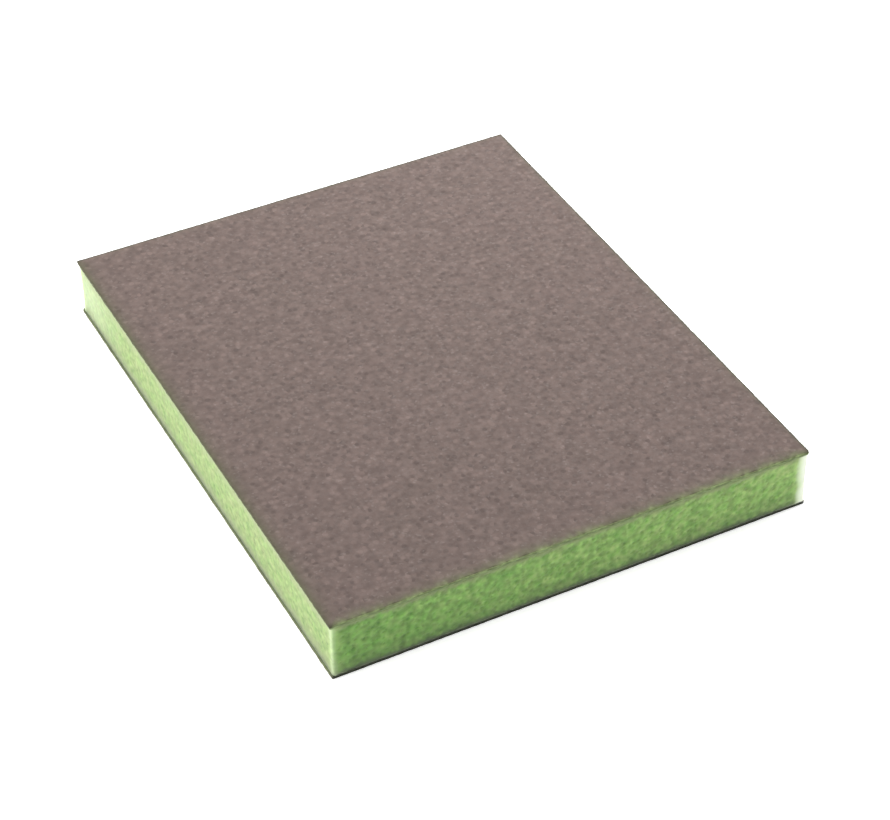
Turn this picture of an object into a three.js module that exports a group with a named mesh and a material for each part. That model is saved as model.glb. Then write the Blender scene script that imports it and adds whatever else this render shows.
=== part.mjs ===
// A thin, flexible, double-sided sanding block: a die-cut sheet of open-cell foam with an
// abrasive coat bonded to each broad face and bare foam on the four sides.
// Millimetres, +Z up. The origin is the centre of the bottom face, +X runs across the width
// and +Y along the length.
import * as THREE from "three";

// Driving dimensions of the whole block.
const WIDTH = 98;
const LENGTH = 120;
const THICKNESS = 13;

// The two coats on each broad face, from the outside in.
const ABRASIVE_THICKNESS = 0.55; // grit standing in its hardened size coat
const BOND_THICKNESS = 0.25; // the flexible make coat that holds the grit to the foam
const COAT_CORNER_RADIUS = 0.15;
const BOND_SETBACK = 0.1; // from the abrasive layer's outline to the make coat's

// The foam springs back from the knife, so its sides end inside the coats and are hollow.
const FOAM_SETBACK = 0.15; // from the abrasive layer's outline to the foam's top and bottom edges
const FOAM_HOLLOW = 0.08; // how much further in its sides are at mid height
const FOAM_CORNER_RADIUS = 0.5;
const FOAM_STEPS = 8; // levels of facets up its sides

const CORNER_FACETS = 8; // flats round each corner

const COAT_THICKNESS = ABRASIVE_THICKNESS + BOND_THICKNESS;
const FOAM_THICKNESS = THICKNESS - 2 * COAT_THICKNESS;

// A rectangle with rounded corners, centred on the origin, that lies `setback` inside the
// block's own outline.
function outline(setback, radius) {
  const halfWidth = WIDTH / 2 - setback;
  const halfLength = LENGTH / 2 - setback;
  const shape = new THREE.Shape();
  const corners = [
    [1, -1],
    [1, 1],
    [-1, 1],
    [-1, -1],
  ];
  corners.forEach(([sideX, sideY], index) => {
    const start = ((index - 1) * Math.PI) / 2;
    const centreX = sideX * (halfWidth - radius);
    const centreY = sideY * (halfLength - radius);
    shape.absarc(centreX, centreY, radius, start, start + Math.PI / 2, false);
  });
  return shape.closePath();
}

// A flat layer with upright sides.
function layer(setback, radius, thickness) {
  return new THREE.ExtrudeGeometry(outline(setback, radius), {
    depth: thickness,
    bevelEnabled: false,
    curveSegments: CORNER_FACETS / 2, // three.js cuts an arc into twice this many
  });
}

// The foam sheet. Its sides follow a parabola that is deepest at mid height.
function foamSheet() {
  const sheet = new THREE.ExtrudeGeometry(outline(FOAM_SETBACK, FOAM_CORNER_RADIUS), {
    depth: FOAM_THICKNESS,
    steps: FOAM_STEPS,
    bevelEnabled: false,
    curveSegments: CORNER_FACETS / 2, // three.js cuts an arc into twice this many
  });
  const points = sheet.getAttribute("position");
  for (let i = 0; i < points.count; i++) {
    const fromMiddle = (2 * points.getZ(i)) / FOAM_THICKNESS - 1;
    const inset = FOAM_HOLLOW * (1 - fromMiddle * fromMiddle);
    points.setX(i, points.getX(i) * (1 - inset / (WIDTH / 2 - FOAM_SETBACK)));
    points.setY(i, points.getY(i) * (1 - inset / (LENGTH / 2 - FOAM_SETBACK)));
  }
  sheet.computeVertexNormals();
  return sheet;
}

function foamMaterial() {
  return new THREE.MeshStandardMaterial({ color: 0x8dcb5a, roughness: 0.95, metalness: 0 });
}

function bondMaterial() {
  return new THREE.MeshStandardMaterial({ color: 0x4d5340, roughness: 0.8, metalness: 0 });
}

function abrasiveMaterial() {
  return new THREE.MeshStandardMaterial({ color: 0x867770, roughness: 0.85, metalness: 0 });
}

// Puts one piece into its parent, with its underside at the given height.
function place(parent, name, geometry, material, height) {
  const mesh = new THREE.Mesh(geometry, material);
  mesh.name = name;
  mesh.position.z = height;
  parent.add(mesh);
}

// The make coat and the abrasive layer of one broad face. The bottom face's are laid in the
// opposite order to the top face's.
function coat(side, bondHeight, abrasiveHeight) {
  const group = new THREE.Group();
  const bond = layer(BOND_SETBACK, COAT_CORNER_RADIUS, BOND_THICKNESS);
  const abrasive = layer(0, COAT_CORNER_RADIUS, ABRASIVE_THICKNESS);
  place(group, `${side}_bond_coat`, bond, bondMaterial(), bondHeight);
  place(group, `${side}_abrasive_layer`, abrasive, abrasiveMaterial(), abrasiveHeight);
  return group;
}

const sandingBlock = new THREE.Group();
place(sandingBlock, "foam_core", foamSheet(), foamMaterial(), COAT_THICKNESS);
sandingBlock.add(coat("bottom", ABRASIVE_THICKNESS, 0));
sandingBlock.add(coat("top", THICKNESS - COAT_THICKNESS, THICKNESS - ABRASIVE_THICKNESS));

export default sandingBlock;
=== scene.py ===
# The looks of a thin, double-sided foam sanding block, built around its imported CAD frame.
# Lengths are millimetres, except in the table of lights and in Blender's own data: metres.
import math

import bpy
import numpy as np
from mathutils import Matrix, Vector, noise


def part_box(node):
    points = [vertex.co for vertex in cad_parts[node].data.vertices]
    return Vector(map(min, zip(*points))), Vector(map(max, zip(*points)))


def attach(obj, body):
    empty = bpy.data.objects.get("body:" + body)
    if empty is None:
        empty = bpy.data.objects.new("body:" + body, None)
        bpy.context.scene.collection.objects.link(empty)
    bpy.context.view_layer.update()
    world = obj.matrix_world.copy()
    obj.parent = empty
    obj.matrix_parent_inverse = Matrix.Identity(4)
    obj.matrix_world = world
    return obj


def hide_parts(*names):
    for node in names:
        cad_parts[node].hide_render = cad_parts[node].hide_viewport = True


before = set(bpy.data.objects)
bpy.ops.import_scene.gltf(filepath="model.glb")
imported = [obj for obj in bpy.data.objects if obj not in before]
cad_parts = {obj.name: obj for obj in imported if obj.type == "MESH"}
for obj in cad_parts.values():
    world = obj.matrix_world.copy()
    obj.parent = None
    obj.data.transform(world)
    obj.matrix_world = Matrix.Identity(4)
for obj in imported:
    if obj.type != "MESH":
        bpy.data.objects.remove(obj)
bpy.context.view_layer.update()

MM = 0.001
TOUCHING = 1e-6

# Camera, at the photograph's viewing angle. Azimuth 0 looks along +Y.
CAMERA_AZIMUTH = -26.78
CAMERA_ELEVATION = 39.64
CAMERA_ROLL = -0.91
CAMERA_DISTANCE = 503.4  # from the centre of the block's underside
CAMERA_SIDESTEP = 3.7
CAMERA_RISE = -1.45
CAMERA_LENS = 103.3
CAMERA_SENSOR = 36.0

# Studio
LIGHTS = (  # name, azimuth, elevation, distance and width in metres, watts
    ("left", -95, 35, 0.8, 0.6, 6.05),
    ("back", 150, 35, 0.5, 0.3, 2.8),
    ("right", 105, 42, 0.8, 0.5, 6.4),
)
WORLD_GLOW = 0.12
FLOOR_GLOW = 0.62  # the floor is a light table, so that shadows on it stay faint
FLOOR_HALF = 800.0  # half of its width
FLOOR_LEVEL = -0.02

# Outward directions of the block's four sides. Every table of four values by side is in this order.
SIDES = ((1.0, 0.0), (0.0, 1.0), (-1.0, 0.0), (0.0, -1.0))
# The knife side faces away from the lamps; its foam also gets a painted shade tint.
KNIFE_SIDE = (0.0, 0.0, 0.0, 1.0)  # where the knife left the foam, torn and smeared over the coats
LEFT_SIDE = (0.0, 0.0, 1.0, 0.0)

# Foam
FOAM_STEP = 0.235  # between the points of its side faces
FOAM_CORNER_RADIUS = 0.5
FOAM_HOLLOW = 0.08  # how much further in its sides are at mid height
FOAM_LEAN = (0.07, -0.18)  # how far off the coats' centre the foam lies, in X and Y
CELL_SIZE = 0.68  # of the foam's open cells
CELL_DEPTH = 0.11
CELL_WALL = 0.15  # how far from a wall between two cells the surface dips
TUFT_SIZE = 1.15  # the knife tears the foam into low tufts of this size
TUFT_HEIGHT = 0.05
BULGE_SIZE = 6.0  # slow waves along the cut
BULGE_HEIGHT = 0.05
RELIEF_BY_SIDE = (0.7, 0.7, 0.6, 1.0)  # how much of that relief each side has
RESIN_HEIGHT = 0.9  # how far resin has crept into the foam beside each coat
CREEP_NOISE = ((1.4, 0.7), (0.5, 0.5))  # size and strength of the noises that make that uneven
CREEP_FADE = (0.25, 1.5)  # the shares of that height between which a resin stain or painted highlight band fades out
RESIN_ABOVE_BY_SIDE = (0.5, 0.5, 0.1, 1.0)
RESIN_AND_SHADE_BELOW_BY_SIDE = (0.7, 0.7, 0.8, 1.0)
HIGHLIGHT_BAND_HEIGHT = 2.0  # how far from each coat the foam gets a pale painted highlight
HIGHLIGHT_BAND_BY_SIDE = (0.4, 0.4, 1.0, 0.0)
FLOOR_SHADE_HEIGHT = 4.5  # how far up from its underside the foam gets painted shade, darkest at the floor
FLOOR_SHADE_STRENGTH = 0.36
LIT_END_LENGTH = 26.0  # how far from the +Y end the left side gets a painted highlight
CORNERS = ((1, 1), (-1, 1), (-1, -1), (1, -1))
CORNER_HIGHLIGHT_WIDTHS = (1.0, 1.5, 1.5, 1.9)  # of the painted highlight on the foam at each upright corner
CORNER_HIGHLIGHT_STRENGTHS = (0.5, 0.6, 0.35, 1.0)
CORNER_HIGHLIGHT_NOISE_SIZE = 2.2

# Coats
GRIT_STEP = 0.36  # between the points of a grit face
GRIT_HEIGHT = 0.010  # from valley to grain tip
COAT_CORNER_RADIUS = 0.15
COAT_LUMP_SIZE = 1.2  # the foam's cells show through the coat as low lumps of this size
COAT_LUMP_HEIGHT = 0.03
COAT_WAVE_SIZE = 45.0
COAT_WAVE_HEIGHTS = (0.08, 0.0)  # of the top and bottom coats: the bottom lies flat
EDGE_DROPS = (0.14, 0.04)  # the knife pulls the top and bottom coats' edges in by this much
EDGE_WIDTH = 0.55  # and by less and less over this distance from the edge
EDGE_TRIM = 0.04  # how far inside the CAD outline the edges lie
EDGE_RAGGEDNESS = 0.04
EDGE_NOISE = ((2.2, 1.0), (0.6, 0.8))  # size and strength
SIDE_ROUGHNESS = 0.06
SIDE_SWELL = 0.02  # how far the rough sides stand out on average
SIDE_SHARES = (0.03, 0.4, 0.7, 1.0)  # where the rings of points lie on the way down a coat's side
BOND_RAGGEDNESS = 0.08
BOND_NOISE = ((0.9, 1.0), (0.35, 0.6))  # size and strength
BOND_RINGS = 4
BOND_SQUEEZE_BY_SIDE = (0.0, 0.0, 0.04, 0.13)  # how far the make coat is squeezed out
LINE_WIDTH = 0.22  # of the dark line along a coat's edge
TINT_WIDTH = 1.1  # of the olive tint beside that line
TIP_BRUISE_WIDTH = 0.9  # of the dark patch on the tip of each of a coat's corners
SMEAR_WIDTH = 0.6  # how far torn foam reaches over a coat's face
SMEAR_NOISE = ((2.6, 1.0), (0.9, 0.7))  # size and strength
SMEAR_ON_FACE = (0.32, 0.55, 0.1, 0.6)  # its mean, swing, least and most
SMEAR_ON_SIDE = (0.85, 0.4, 0.6, 1.0)
# Strengths by side of a coat's dark line, olive tint and smeared foam, and of its dark tips.
TOP_MARKS = {
    "line": (0.9, 0.9, 0.0, 0.0),
    "tint": (0.2, 0.2, 0.95, 0.9),
    "smear": (0.1, 0.1, 0.12, 1.0),
    "tip": 0.25,
}
# The bottom coat's dark line and olive tint along the knife side: partly its dark cut edge, partly
# painted shadow where the block meets the floor.
BOTTOM_MARKS = {
    "line": (0.6, 0.6, 0.0, 1.0),
    "tint": (0.3, 0.3, 0.4, 1.0),
    "smear": (0.3, 0.3, 0.5, 0.0),
    "tip": 0.3,
}

# Linear colours. Each pair is a darker and a lighter tone.
GRIT = ((0.117, 0.0860, 0.0763), (0.121, 0.0880, 0.0789))
# A painted glint, put on a few grains
GRAIN_GLINT = (0.36, 0.30, 0.28)
OLIVE_TINT = (0.090, 0.083, 0.053)
DARK_LINE = (0.022, 0.030, 0.014)
FOAM_ON_GRIT = (0.265, 0.335, 0.145)
RESIN = ((0.030, 0.038, 0.020), (0.070, 0.075, 0.040))
FOAM_ON_RESIN = ((0.20, 0.27, 0.11), (0.29, 0.38, 0.16))
CELL_WALLS = ((0.242, 0.373, 0.099), (0.280, 0.386, 0.116))
# Darker green for the hollows of the open cells: painted shade
CELL_SHADE = ((0.160, 0.267, 0.060), (0.193, 0.304, 0.076))
# Painted highlight towards the +Y end of the left side
LIT_END_HIGHLIGHT = (0.56, 0.64, 0.42)
# A pale painted highlight beside the coats, strongest on the lit left side
HIGHLIGHT_BAND = (0.30, 0.355, 0.155)
PALE_RESIN = (0.22, 0.24, 0.115)
# Dark resin stain, also used for painted shade near the floor
DARK_RESIN_AND_SHADE = (0.09, 0.12, 0.06)
# Painted highlight colours for the foam's upright corners, lime and then nearly white
CORNER_HIGHLIGHT_LIME = (0.52, 0.72, 0.26)
CORNER_HIGHLIGHT_WHITE = (0.92, 0.96, 0.84)
KNIFE_SIDE_SHADE_TINT = (0.90, 1.06, 0.88)  # multiplied into the foam's colour on the knife side: painted shade
# Painted shade towards the -X end of the knife side
LEFT_END_SHADE_TINT = (0.60, 0.76, 0.54)
PALE_PAINT = ((0.90, 0.90, 0.90), (0.92, 0.92, 0.92))
WHITE = (1.0, 1.0, 1.0, 1.0)


def perlin(points, size, seed):
    """Smooth noise from about -1 to 1 at each point, with lumps of the given size."""
    offset = Vector((seed * 17.31, seed * 5.93, seed * 11.17))
    return np.array([noise.noise(Vector(p) / size + offset) for p in points])


def layered(points, layers, seed):
    """A sum of noises, from a table of the size and strength of each."""
    total = 0
    for i, (size, strength) in enumerate(layers):
        total = total + strength * perlin(points, size, seed + i)
    return total


def hashed(points, seed):
    """A number from 0 to 1 for each point that looks random and is the same in every run."""
    mixed = np.round(np.asarray(points) * 1000) @ np.array([12.9898, 78.233, 37.719])
    return np.modf(np.abs(np.sin(mixed * 0.01 + seed) * 43758.5453))[0]


def smooth_step(low, high, values):
    """0 below low, 1 above high, and a smooth rise between them."""
    t = np.clip((values - low) / (high - low), 0, 1)
    return t * t * (3 - 2 * t)


def by_side(directions, values):
    """The value, from a table in the order of SIDES, of the side that each direction faces.
    A direction between two sides gets a share of both."""
    shares = np.clip(directions @ np.array(SIDES).T, 0, 1) ** 2
    return shares @ np.array(values) / np.maximum(shares.sum(axis=1), 1e-9)


def from_angles(azimuth, elevation):
    """The direction from the block towards a light or camera. Azimuth 0 looks along +Y."""
    turn, tilt = math.radians(azimuth), math.radians(elevation)
    return Vector((
        math.sin(turn) * math.cos(tilt),
        -math.cos(turn) * math.cos(tilt),
        math.sin(tilt),
    ))


def make_piece(name, points, faces, stands_for, material, attributes):
    """A mesh object from points in millimetres that stands for one CAD node."""
    mesh = bpy.data.meshes.new(name)
    mesh.from_pydata((np.asarray(points) * MM).tolist(), [], faces)
    mesh.validate()
    mesh.polygons.foreach_set("use_smooth", [True] * len(mesh.polygons))
    for key, values in attributes.items():
        layer = mesh.attributes.new(key, "FLOAT", "POINT")
        layer.data.foreach_set("value", np.asarray(values, np.float32))
    mesh.materials.append(material)
    mesh.update()
    piece = bpy.data.objects.new(name, mesh)
    bpy.context.scene.collection.objects.link(piece)
    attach(piece, "root")
    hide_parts(stands_for)
    return piece


def half_size(node):
    """Half of a CAD node's width and length."""
    low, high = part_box(node)
    return (high.x - low.x) / 2 / MM, (high.y - low.y) / 2 / MM


def levels(node):
    """The heights of a CAD node's underside and top."""
    low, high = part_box(node)
    return low.z / MM, high.z / MM


def rounded_outline(half_width, half_length, radius, step):
    """Points round a rectangle with round corners, anticlockwise from above, and the outward
    direction at each."""
    places, outward = [], []
    arc_steps = max(4, round(radius * math.pi / 2 / step) * 2)
    for quarter in range(4):
        start = quarter * math.pi / 2
        side_x = 1 if quarter in (0, 3) else -1
        side_y = 1 if quarter in (0, 1) else -1
        centre = np.array([side_x * (half_width - radius), side_y * (half_length - radius)])
        for i in range(arc_steps + 1):
            angle = start + i / arc_steps * math.pi / 2
            normal = np.array([math.cos(angle), math.sin(angle)])
            places.append(centre + normal * radius)
            outward.append(normal)
        along_y = quarter in (1, 3)
        straight = 2 * ((half_length if along_y else half_width) - radius)
        forward = np.array([-normal[1], normal[0]])
        count = round(straight / step)
        for i in range(1, count):
            places.append(centre + normal * radius + forward * straight * i / count)
            outward.append(normal)
    return np.array(places), np.array(outward)


def slab_faces(rings, count):
    """The walls and both ends of a slab made of stacked rings of points, from the lowest ring
    up. Each ring runs anticlockwise from above."""
    faces = []
    for ring in range(rings - 1):
        base = ring * count
        for i in range(count):
            after = (i + 1) % count
            faces.append((base + i, base + after, base + count + after, base + count + i))
    last = (rings - 1) * count
    faces.append(tuple(range(count))[::-1])
    faces.append(tuple(range(last, last + count)))
    return faces


def foam_cells(points):
    """How deep each point lies in an open cell, from 0 on a wall to 1 in the middle."""
    depths = np.empty(len(points))
    for i, point in enumerate(points):
        distances, centres = noise.voronoi(Vector(point) / CELL_SIZE)
        wall = (distances[1] - distances[0]) * CELL_SIZE
        openness = abs(0.45 + 0.55 * noise.cell(centres[0] * 7.1))  # the same all over a cell
        depths[i] = (1 - math.exp(-((wall / CELL_WALL) ** 2))) * min(1.0, openness)
    return depths


def foam_core():
    """The foam sheet, whose cut sides are hollow and covered in open cells."""
    bottom, top = levels("foam_core")
    half_width, half_length = half_size("foam_core")
    outline, outward = rounded_outline(half_width, half_length, FOAM_CORNER_RADIUS, FOAM_STEP)
    rings = round((top - bottom) / FOAM_STEP) + 3
    heights = np.linspace(bottom, top, rings)
    middle = (top + bottom) / 2
    inset = FOAM_HOLLOW * (1 - ((heights - middle) / (top - middle)) ** 2)
    count = len(outline)
    flat = outline[None, :, :] - outward[None, :, :] * inset[:, None, None]
    z = np.repeat(heights, count)
    points = np.column_stack([flat.reshape(-1, 2), z])
    normals = np.tile(outward, (rings, 1))

    cell = foam_cells(points)
    tuft = perlin(points, TUFT_SIZE, 4)
    shift = BULGE_HEIGHT * perlin(points, BULGE_SIZE, 3) + TUFT_HEIGHT * tuft - CELL_DEPTH * cell
    near_coat = np.minimum(z - bottom, top - z)
    shift *= smooth_step(-0.2, 0.25, near_coat) * by_side(normals, RELIEF_BY_SIDE)
    points[:, :2] += normals * shift[:, None] + FOAM_LEAN

    attributes = {
        "cell_depth": cell,
        "tuft": 0.5 + tuft,
        "corner_highlight": corner_highlights(points, half_width, half_length),
        **foam_stains_and_light(points, normals),
    }
    faces = slab_faces(rings, count)
    material = foam_material()
    piece = make_piece("foam", points, faces, "foam_core", material, attributes)


def band_from_coat(near_coat, height, creep):
    """1 at a coat, and fading to 0 at about the given height from it."""
    start, end = CREEP_FADE
    return 1 - smooth_step(start * creep, end * creep, near_coat / height)


def foam_stains_and_light(points, normals):
    """How much resin stain, painted highlight and painted shade each point of the foam's sides has,
    from 0 to 1.
    """
    bottom, top = levels("foam_core")
    half_width, half_length = half_size("foam_core")
    above_bottom, below_top = points[:, 2] - bottom, top - points[:, 2]
    near_coat = np.minimum(above_bottom, below_top)
    upper_half = above_bottom > below_top
    creep = 1 + layered(points, CREEP_NOISE, 5)
    resin = band_from_coat(near_coat, RESIN_HEIGHT, creep)
    # A pale painted highlight band beside each coat
    highlight_band = band_from_coat(near_coat, HIGHLIGHT_BAND_HEIGHT, creep)
    # Painted shade, darkest where the foam meets the floor
    floor_shade = FLOOR_SHADE_STRENGTH * (1 - smooth_step(0, FLOOR_SHADE_HEIGHT, above_bottom))
    resin_above = np.where(upper_half, resin, 0)
    resin_and_shade_below = np.where(upper_half, 0, np.maximum(resin, floor_shade))
    # Painted shade grows towards the -X end of the knife side
    towards_left = 0.5 - points[:, 0] / (2 * half_width)
    # Painted highlight towards the +Y end of the left side
    lit_end = smooth_step(half_length - LIT_END_LENGTH, half_length, points[:, 1])
    return {
        "resin_above": resin_above * by_side(normals, RESIN_ABOVE_BY_SIDE),
        "resin_and_shade_below": resin_and_shade_below * by_side(normals, RESIN_AND_SHADE_BELOW_BY_SIDE),
        "highlight_band": highlight_band * by_side(normals, HIGHLIGHT_BAND_BY_SIDE),
        # The knife side: its foam gets a painted shade tint and stronger texture contrast
        "torn": by_side(normals, KNIFE_SIDE),
        "left_end_shade": towards_left**2 * by_side(normals, KNIFE_SIDE),
        "lit_end_highlight": lit_end * by_side(normals, LEFT_SIDE),
    }


def corner_highlights(points, half_width, half_length):
    """How much painted highlight each point of the foam gets, from 0 to 1, near its upright
    corners.
    """
    corner_highlight = np.zeros(len(points))
    ragged = 1 + 0.3 * perlin(points, CORNER_HIGHLIGHT_NOISE_SIZE, 8)
    for (side_x, side_y), width, strength in zip(CORNERS, CORNER_HIGHLIGHT_WIDTHS, CORNER_HIGHLIGHT_STRENGTHS):
        distance = np.hypot(points[:, 0] - side_x * half_width, points[:, 1] - side_y * half_length)
        corner_highlight = np.maximum(corner_highlight, strength * np.exp(-((distance / (width * ragged)) ** 2)))
    return corner_highlight


def bond_coat(name, node, marks, seed):
    """A thin make coat, squeezed out unevenly along its edges."""
    bottom, top = levels(node)
    half_width, half_length = half_size(node)
    outline, outward = rounded_outline(half_width, half_length, COAT_CORNER_RADIUS, FOAM_STEP)
    heights = np.linspace(bottom, top, BOND_RINGS)
    count = len(outline)
    outward = np.tile(outward, (BOND_RINGS, 1))
    flat = np.tile(outline, (BOND_RINGS, 1))
    points = np.column_stack([flat, np.repeat(heights, count)])
    uneven = BOND_RAGGEDNESS * layered(points, BOND_NOISE, seed)
    squeezed = uneven + by_side(outward, BOND_SQUEEZE_BY_SIDE)
    points[:, :2] += outward * squeezed[:, None]
    faces = slab_faces(BOND_RINGS, count)
    from_side = np.zeros(len(points))
    down_side = np.ones(len(points))
    smear = foam_smear(points, outward, from_side, down_side, marks["smear"], seed + 2)
    make_piece(name, points, faces, node, bond_material(), {"smear": smear})


def border(columns, rows):
    """The indices of a grid's outer points, anticlockwise, where a row holds `columns` points."""
    last_row = (rows - 1) * columns
    near = list(range(columns))
    right = [row * columns + columns - 1 for row in range(1, rows)]
    far = [last_row + column for column in range(columns - 2, -1, -1)]
    left = [row * columns for row in range(rows - 2, 0, -1)]
    return near + right + far + left


def round_corners(x, y, half_width, half_length, radius):
    """Squeezes the square corners of a grid into round ones."""
    over_x = np.maximum(np.abs(x) - (half_width - radius), 0)
    over_y = np.maximum(np.abs(y) - (half_length - radius), 0)
    reach = np.hypot(over_x, over_y)
    scale = np.where(reach > 0, np.maximum(over_x, over_y) / np.maximum(reach, 1e-9), 1)
    x = np.sign(x) * (np.abs(x) - over_x + over_x * scale)
    y = np.sign(y) * (np.abs(y) - over_y + over_y * scale)
    return x, y


def grit_relief(flat_points, wave_height, seed):
    """The height of a grit face above its mean level."""
    lumps = COAT_LUMP_HEIGHT * perlin(flat_points, COAT_LUMP_SIZE, seed)
    wave = wave_height * perlin(flat_points, COAT_WAVE_SIZE, seed + 1)
    grains = GRIT_HEIGHT * (hashed(flat_points, seed + 2) ** 1.5 - 0.4)
    return lumps + wave + grains


def patchy(patches, mean, swing, least, most):
    """A noise with the given mean and swing, kept between two limits."""
    return np.clip(mean + swing * patches, least, most)


def foam_smear(points, directions, from_side, down_side, strengths, seed):
    """How much torn foam covers each point of a coat, from 0 to 1: patches along the face's
    edge, and nearly all of the coat's side. The share of the way down that side is 0 on the face
    and 1 at the foam."""
    patches = layered(points, SMEAR_NOISE, seed)
    on_face = patchy(patches, *SMEAR_ON_FACE) * np.exp(-from_side / SMEAR_WIDTH)
    on_side = patchy(patches, *SMEAR_ON_SIDE)
    return by_side(directions, strengths) * np.where(down_side > 0, on_side, on_face)


def abrasive_faces(columns, rows, rim):
    """Quads over a grid of points, then down rings of points under its rim, and one flat back."""
    faces = []
    for row in range(rows - 1):
        for column in range(columns - 1):
            a = row * columns + column
            faces.append((a, a + 1, a + 1 + columns, a + columns))
    count = len(rim)
    rings = [rim]
    for level in range(len(SIDE_SHARES)):
        first = columns * rows + level * count
        rings.append(list(range(first, first + count)))
    for above, below in zip(rings, rings[1:]):
        for i in range(count):
            after = (i + 1) % count
            faces.append((above[i], below[i], below[after], above[after]))
    faces.append(tuple(rings[-1])[::-1])
    return faces


def side_rings(rim_points, outward, back, seed):
    """Rings of points on the way from a grit face's rim to the level of the layer's back."""
    rings = []
    for level, share in enumerate(SIDE_SHARES):
        ring = rim_points.copy()
        ring[:, 2] = rim_points[:, 2] + (back - rim_points[:, 2]) * share
        rough = SIDE_ROUGHNESS * (hashed(ring, seed + level) - 0.5) + SIDE_SWELL
        ring[:, :2] += outward * rough[:, None]
        rings.append(ring)
    return rings


def grit_face(x, y, half_width, half_length, outer, faces_up, seed):
    """The points of a grit face: a grid at the given level, with round corners, ragged edges
    that the knife has pulled in, and relief."""
    outwards = 1 if faces_up else -1
    coat = 0 if faces_up else 1  # its place in the tables of top and bottom values
    from_x_edge, from_y_edge = half_width - np.abs(x), half_length - np.abs(y)
    side_x, side_y = np.sign(x), np.sign(y)
    x, y = round_corners(x, y, half_width, half_length, COAT_CORNER_RADIUS)
    flat_points = np.column_stack([x, y, np.full(len(x), outer)])
    ragged = EDGE_RAGGEDNESS * layered(flat_points, EDGE_NOISE, seed + 3) - EDGE_TRIM
    x = x + side_x * ragged * np.exp(-from_x_edge / EDGE_WIDTH)
    y = y + side_y * ragged * np.exp(-from_y_edge / EDGE_WIDTH)
    relief = grit_relief(flat_points, COAT_WAVE_HEIGHTS[coat], seed)
    relief -= EDGE_DROPS[coat] * np.exp(-np.minimum(from_x_edge, from_y_edge) / EDGE_WIDTH)
    if not faces_up:
        relief -= relief.max()  # the block stands on its lowest grains
    return np.column_stack([x, y, outer + outwards * relief])


def coat_marks(points, directions, from_side, down_side, from_tip, marks, seed):
    """A coat's dark line, olive tint and smeared foam, each from 0 to 1 at each point."""
    tip = np.exp(-((from_tip / TIP_BRUISE_WIDTH) ** 2))
    smear = foam_smear(points, directions, from_side, down_side, marks["smear"], seed)
    line = by_side(directions, marks["line"]) * np.exp(-from_side / LINE_WIDTH)
    return {
        "line": np.maximum(line, marks["tip"] * tip),
        "tint": by_side(directions, marks["tint"]) * np.exp(-from_side / TINT_WIDTH),
        "smear": smear * (1 - tip),
    }


def abrasive_layer(name, node, faces_up, marks, seed):
    """A layer of grit: a fine uneven face, rough sides, and a flat back against its bond."""
    bottom, top = levels(node)
    outer, back = (top, bottom) if faces_up else (bottom, top)
    half_width, half_length = half_size(node)
    columns = round(2 * half_width / GRIT_STEP) + 1
    rows = round(2 * half_length / GRIT_STEP) + 1
    x, y = np.meshgrid(
        np.linspace(-half_width, half_width, columns),
        np.linspace(-half_length, half_length, rows),
    )
    x, y = x.ravel(), y.ravel()
    face_points = grit_face(x, y, half_width, half_length, outer, faces_up, seed)

    rim = border(columns, rows)
    side_x, side_y = np.sign(x), np.sign(y)
    from_x_edge, from_y_edge = half_width - np.abs(x), half_length - np.abs(y)
    on_x_side, on_y_side = from_x_edge[rim] < TOUCHING, from_y_edge[rim] < TOUCHING
    outward = np.column_stack([side_x[rim] * on_x_side, side_y[rim] * on_y_side])
    walls = side_rings(face_points[rim], outward, back, seed + 5)
    points = np.vstack([face_points] + walls)
    faces = abrasive_faces(columns, rows, rim)
    if not faces_up:
        faces = [face[::-1] for face in faces]

    nearer_x = from_x_edge < from_y_edge
    nearest_side = np.column_stack([side_x * nearer_x, side_y * ~nearer_x])
    directions = np.vstack([nearest_side] + [outward] * len(walls))
    from_edge = np.minimum(from_x_edge, from_y_edge)
    from_side = np.concatenate([from_edge, np.zeros(len(rim) * len(walls))])
    down_side = np.concatenate([np.zeros(len(x)), np.repeat(SIDE_SHARES, len(rim))])
    from_tip = np.hypot(from_x_edge, from_y_edge)
    from_tip = np.concatenate([from_tip, np.tile(from_tip[rim], len(walls))])
    attributes = coat_marks(points, directions, from_side, down_side, from_tip, marks, seed + 9)
    make_piece(name, points, faces, node, abrasive_material(), attributes)


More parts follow.
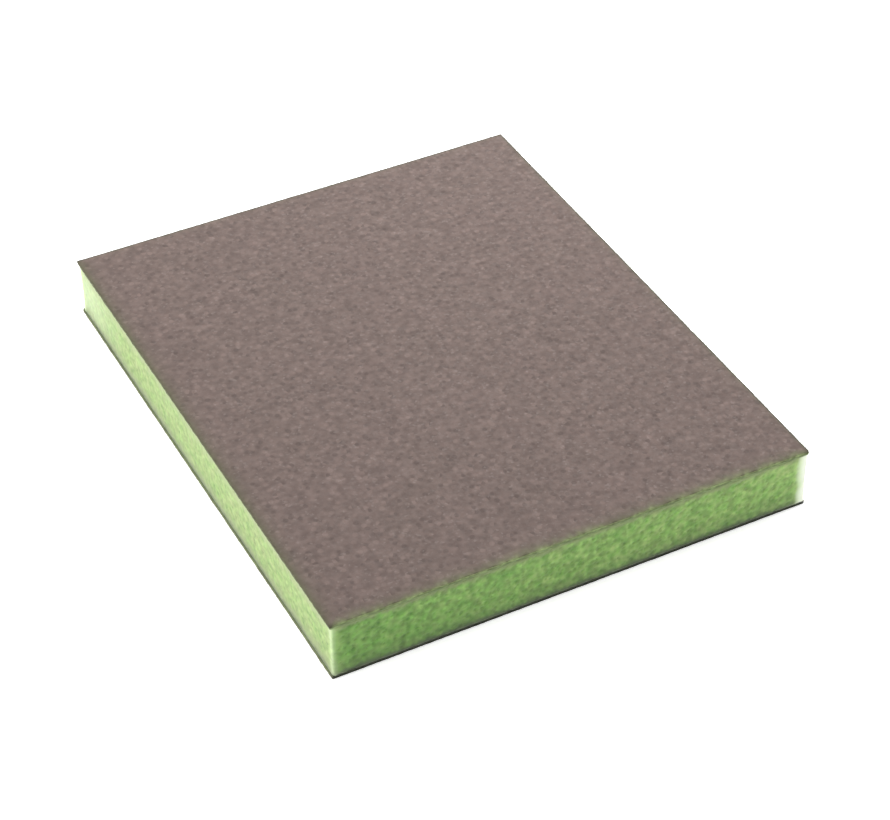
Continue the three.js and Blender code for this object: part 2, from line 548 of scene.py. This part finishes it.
class Nodes:
    """A material's node tree, with short ways to add the nodes that the materials share."""

    def __init__(self, name):
        self.material = bpy.data.materials.new(name)
        self.material.use_nodes = True
        self.tree = self.material.node_tree
        self.shader = self.tree.nodes["Principled BSDF"]
        self.place = self.tree.nodes.new("ShaderNodeTexCoord").outputs["Object"]

    def link(self, source, socket):
        self.tree.links.new(source, socket)

    def noise(self, size, detail=2.0, roughness=0.5):
        """Noise with lumps of the given size, in millimetres."""
        node = self.tree.nodes.new("ShaderNodeTexNoise")
        node.inputs["Scale"].default_value = 1 / (size * MM)
        node.inputs["Detail"].default_value = detail
        node.inputs["Roughness"].default_value = roughness
        self.link(self.place, node.inputs["Vector"])
        return node.outputs["Fac"]

    def grains(self, size):
        """A random grey for each of many grains of the given size, in millimetres, and how far
        each place is from its grain's centre, in sizes."""
        node = self.tree.nodes.new("ShaderNodeTexVoronoi")
        node.inputs["Scale"].default_value = 1 / (size * MM)
        self.link(self.place, node.inputs["Vector"])
        split = self.tree.nodes.new("ShaderNodeSeparateColor")
        self.link(node.outputs["Color"], split.inputs[0])
        return split.outputs[0], node.outputs["Distance"]

    def specks(self, size):
        """Separate round specks, some darker and some lighter than the middle grey around them."""
        grey, distance = self.grains(size)
        return self.mix(self.remap(distance, 0.15, 0.55, 1.0, 0.0), (0.5, 0.5, 0.5), grey)

    def attribute(self, name):
        """A number that make_piece stored at each of a mesh's points."""
        node = self.tree.nodes.new("ShaderNodeAttribute")
        node.attribute_name = name
        return node.outputs["Fac"]

    def remap(self, value, low, high, to_low, to_high):
        """The value, moved from the range low to high to the range to_low to to_high."""
        node = self.tree.nodes.new("ShaderNodeMapRange")
        for key, number in zip(
            ("From Min", "From Max", "To Min", "To Max"), (low, high, to_low, to_high)
        ):
            node.inputs[key].default_value = number
        self.link(value, node.inputs["Value"])
        return node.outputs["Result"]

    def mix(self, factor, first, second, blend="MIX"):
        """A mix of two colours, each an RGB tuple or a socket; factor is a number or a socket."""
        node = self.tree.nodes.new("ShaderNodeMix")
        node.data_type = "RGBA"
        node.blend_type = blend
        sockets = [s for s in node.inputs if s.enabled]
        for socket, value in zip(sockets, (factor, first, second)):
            if isinstance(value, bpy.types.NodeSocket):
                self.link(value, socket)
            elif isinstance(value, tuple):
                socket.default_value = (*value, 1.0)
            else:
                socket.default_value = value
        return next(s for s in node.outputs if s.enabled)

    def patches(self, value, dark, light):
        """`dark` where a noise is low and `light` where it is high."""
        return self.mix(self.remap(value, 0.3, 0.7, 0.0, 1.0), dark, light)

    def shade(self, colour, value, swing, strength=1.0):
        """The colour, darker where a noise is low and lighter where it is high. The swing is
        the share that each of red, green and blue gains or loses."""
        dark = tuple(1 - share for share in swing)
        light = tuple(1 + share for share in swing)
        return self.mix(strength, colour, self.patches(value, dark, light), "MULTIPLY")

    def stain(self, colour, name, overlay_colour, most=1.0):
        """The colour, mixed by up to the given share towards a second colour where a mesh attribute
        is high. It lays on stains, and painted highlights and shade.
        """
        share = self.remap(self.attribute(name), 0.0, 1.0, 0.0, most)
        return self.mix(share, colour, overlay_colour)

    def bump(self, height, depth):
        """Fine relief of the given depth, in millimetres."""
        node = self.tree.nodes.new("ShaderNodeBump")
        node.inputs["Distance"].default_value = depth * MM
        node.inputs["Strength"].default_value = 1.0
        self.link(height, node.inputs["Height"])
        self.link(node.outputs["Normal"], self.shader.inputs["Normal"])

    def finish(self, colour, roughness, specular):
        """The material, with its colour, roughness and share of mirror reflection set."""
        self.link(colour, self.shader.inputs["Base Color"])
        self.link(roughness, self.shader.inputs["Roughness"])
        self.shader.inputs["Specular IOR Level"].default_value = specular
        return self.material


def abrasive_material():
    """Brown aluminium oxide grit in a grey-mauve size coat, darker along the cut edges, with
    painted glints on a few grains.
    """
    if "abrasive grit" in bpy.data.materials:
        return bpy.data.materials["abrasive grit"]
    n = Nodes("abrasive grit")
    colour = n.patches(n.noise(9.0, 3.0), *GRIT)
    colour = n.shade(colour, n.noise(2.6, 1.0), (0.07, 0.07, 0.07))
    colour = n.shade(colour, n.noise(1.4, 0.0), (0.10, 0.10, 0.10))
    colour = n.shade(colour, n.specks(1.2), (0.18, 0.18, 0.18))
    grain, _ = n.grains(0.4)
    # A few grains get a painted glint
    colour = n.mix(n.remap(grain, 0.95, 0.98, 0.0, 0.08), colour, GRAIN_GLINT)
    colour = n.stain(colour, "tint", OLIVE_TINT)
    # Dark line along a coat's cut edge; at the bottom of the knife side it is partly painted shadow
    colour = n.stain(colour, "line", DARK_LINE)
    torn = n.shade(FOAM_ON_GRIT, n.noise(1.0, 1.0), (0.25, 0.25, 0.25))
    colour = n.stain(colour, "smear", torn)
    n.bump(n.noise(0.3, 2.0, 0.6), 0.006)
    return n.finish(colour, n.remap(grain, 0.0, 1.0, 0.95, 0.7), 0.2)


def bond_material():
    """Flexible olive resin, with torn foam smeared over it."""
    if "resin bond" in bpy.data.materials:
        return bpy.data.materials["resin bond"]
    n = Nodes("resin bond")
    uneven = n.noise(1.1, 3.0)
    colour = n.patches(uneven, *RESIN)
    colour = n.stain(colour, "smear", n.patches(uneven, *FOAM_ON_RESIN))
    n.bump(n.noise(0.3, 2.0), 0.02)
    return n.finish(colour, n.remap(uneven, 0.3, 0.7, 0.5, 0.75), 0.4)


def foam_material():
    """Lime-green open-cell foam: pale walls, deep green cells with painted shade in them, resin
    stains at the coats, and painted highlights and shade on its sides.
    """
    n = Nodes("foam")
    drift = n.noise(4.5, 3.0)
    walls = n.patches(drift, *CELL_WALLS)
    # Deep in the open cells the green darkens: painted shade
    deep = n.patches(drift, *CELL_SHADE)
    colour = n.mix(n.remap(n.attribute("cell_depth"), 0.05, 0.95, 0.0, 1.0), walls, deep)
    torn = n.attribute("torn")
    contrast = n.remap(torn, 0.0, 1.0, 0.8, 1.0)
    tufts = n.remap(n.attribute("tuft"), 0.1, 0.9, 0.3, 0.7)
    colour = n.shade(colour, tufts, (0.24, 0.20, 0.28), contrast)
    colour = n.shade(colour, n.noise(1.5, 1.0), (0.12, -0.02, 0.16), contrast)
    colour = n.shade(colour, n.specks(0.95), (0.18, 0.16, 0.20), contrast)
    # The knife side, which faces away from the lamps, gets a painted shade tint
    colour = n.mix(torn, colour, KNIFE_SIDE_SHADE_TINT, "MULTIPLY")
    # Painted shade towards the -X end of the knife side
    colour = n.mix(n.attribute("left_end_shade"), colour, LEFT_END_SHADE_TINT, "MULTIPLY")
    # Painted highlight towards the +Y end of the left side
    colour = n.stain(colour, "lit_end_highlight", LIT_END_HIGHLIGHT, 0.45)
    # Pale painted highlight beside each coat
    colour = n.stain(colour, "highlight_band", HIGHLIGHT_BAND, 0.9)
    colour = n.stain(colour, "resin_above", PALE_RESIN, 0.7)
    # Dark resin stain at the bottom coat, and painted shade rising from the floor
    colour = n.stain(colour, "resin_and_shade_below", DARK_RESIN_AND_SHADE, 0.9)
    # Painted highlight at the foam's upright corners
    colour = n.mix(n.remap(n.attribute("corner_highlight"), 0.0, 0.6, 0.0, 0.6), colour, CORNER_HIGHLIGHT_LIME)
    colour = n.mix(n.remap(n.attribute("corner_highlight"), 0.2, 1.0, 0.0, 1.0), colour, CORNER_HIGHLIGHT_WHITE)
    n.bump(n.noise(0.5, 2.0), 0.03)
    fuzz = {"Sheen Weight": 0.3, "Sheen Roughness": 0.6}
    glow = {"Subsurface Weight": 0.12, "Subsurface Scale": 0.6 * MM}
    n.shader.inputs["Subsurface Radius"].default_value = (1.0, 1.3, 0.6)
    for key, number in {**fuzz, **glow}.items():
        n.shader.inputs[key].default_value = number
    return n.finish(colour, n.remap(n.noise(0.5), 0.3, 0.7, 0.98, 0.82), 0.2)


def floor():
    """A plain pale floor, just under the lowest grains."""
    half, level = FLOOR_HALF * MM, FLOOR_LEVEL * MM
    corners = [(-half, -half), (half, -half), (half, half), (-half, half)]
    mesh = bpy.data.meshes.new("floor")
    mesh.from_pydata([(x, y, level) for x, y in corners], [], [(0, 1, 2, 3)])
    piece = bpy.data.objects.new("floor", mesh)
    bpy.context.scene.collection.objects.link(piece)
    n = Nodes("floor paint")
    uneven = n.noise(400.0)
    roughness = n.remap(uneven, 0.3, 0.7, 0.9, 0.95)
    mesh.materials.append(n.finish(n.patches(uneven, *PALE_PAINT), roughness, 0.0))
    n.shader.inputs["Emission Color"].default_value = WHITE
    n.shader.inputs["Emission Strength"].default_value = FLOOR_GLOW


def soft_light(name, azimuth, elevation, distance, size, power):
    """A square area light that looks at the block from the given direction."""
    light = bpy.data.lights.new(name, "AREA")
    light.size = size
    light.energy = power
    lamp = bpy.data.objects.new(name, light)
    bpy.context.scene.collection.objects.link(lamp)
    away = from_angles(azimuth, elevation)
    turn = away.to_track_quat("Z", "Y").to_matrix().to_4x4()
    lamp.matrix_world = Matrix.Translation(away * distance) @ turn


def studio():
    """Soft lights, and a surround that is dim as a light but looks white."""
    world = bpy.data.worlds.new("studio")
    world.use_nodes = True
    tree = world.node_tree
    dim = tree.nodes["Background"]
    dim.inputs["Strength"].default_value = WORLD_GLOW
    white = tree.nodes.new("ShaderNodeBackground")
    seen = tree.nodes.new("ShaderNodeLightPath")
    mix = tree.nodes.new("ShaderNodeMixShader")
    for background in (dim, white):
        background.inputs["Color"].default_value = WHITE
    tree.links.new(seen.outputs["Is Camera Ray"], mix.inputs[0])
    tree.links.new(dim.outputs[0], mix.inputs[1])
    tree.links.new(white.outputs[0], mix.inputs[2])
    tree.links.new(mix.outputs[0], tree.nodes["World Output"].inputs["Surface"])
    bpy.context.scene.world = world
    for light in LIGHTS:
        soft_light(*light)
    bpy.context.scene.view_settings.view_transform = "Standard"


def camera():
    """The photograph's view of the block."""
    back = from_angles(CAMERA_AZIMUTH, CAMERA_ELEVATION)
    azimuth, roll = math.radians(CAMERA_AZIMUTH), math.radians(CAMERA_ROLL)
    level_right = Vector((math.cos(azimuth), math.sin(azimuth), 0.0))
    level_up = back.cross(level_right)
    right = level_right * math.cos(roll) + level_up * math.sin(roll)
    up = level_up * math.cos(roll) - level_right * math.sin(roll)
    place = back * CAMERA_DISTANCE + right * CAMERA_SIDESTEP + up * CAMERA_RISE
    data = bpy.data.cameras.new("camera")
    data.lens = CAMERA_LENS
    data.sensor_width = CAMERA_SENSOR
    data.clip_start = 0.01
    eye = bpy.data.objects.new("camera", data)
    bpy.context.scene.collection.objects.link(eye)
    turn = Matrix((right, up, back)).transposed().to_4x4()
    eye.matrix_world = Matrix.Translation(place * MM) @ turn
    bpy.context.scene.camera = eye


camera()
studio()
floor()
foam_core()
bond_coat("top_bond", "top_bond_coat", TOP_MARKS, 11)
bond_coat("bottom_bond", "bottom_bond_coat", BOTTOM_MARKS, 21)
abrasive_layer("top_abrasive", "top_abrasive_layer", True, TOP_MARKS, 31)
abrasive_layer("bottom_abrasive", "bottom_abrasive_layer", False, BOTTOM_MARKS, 41)
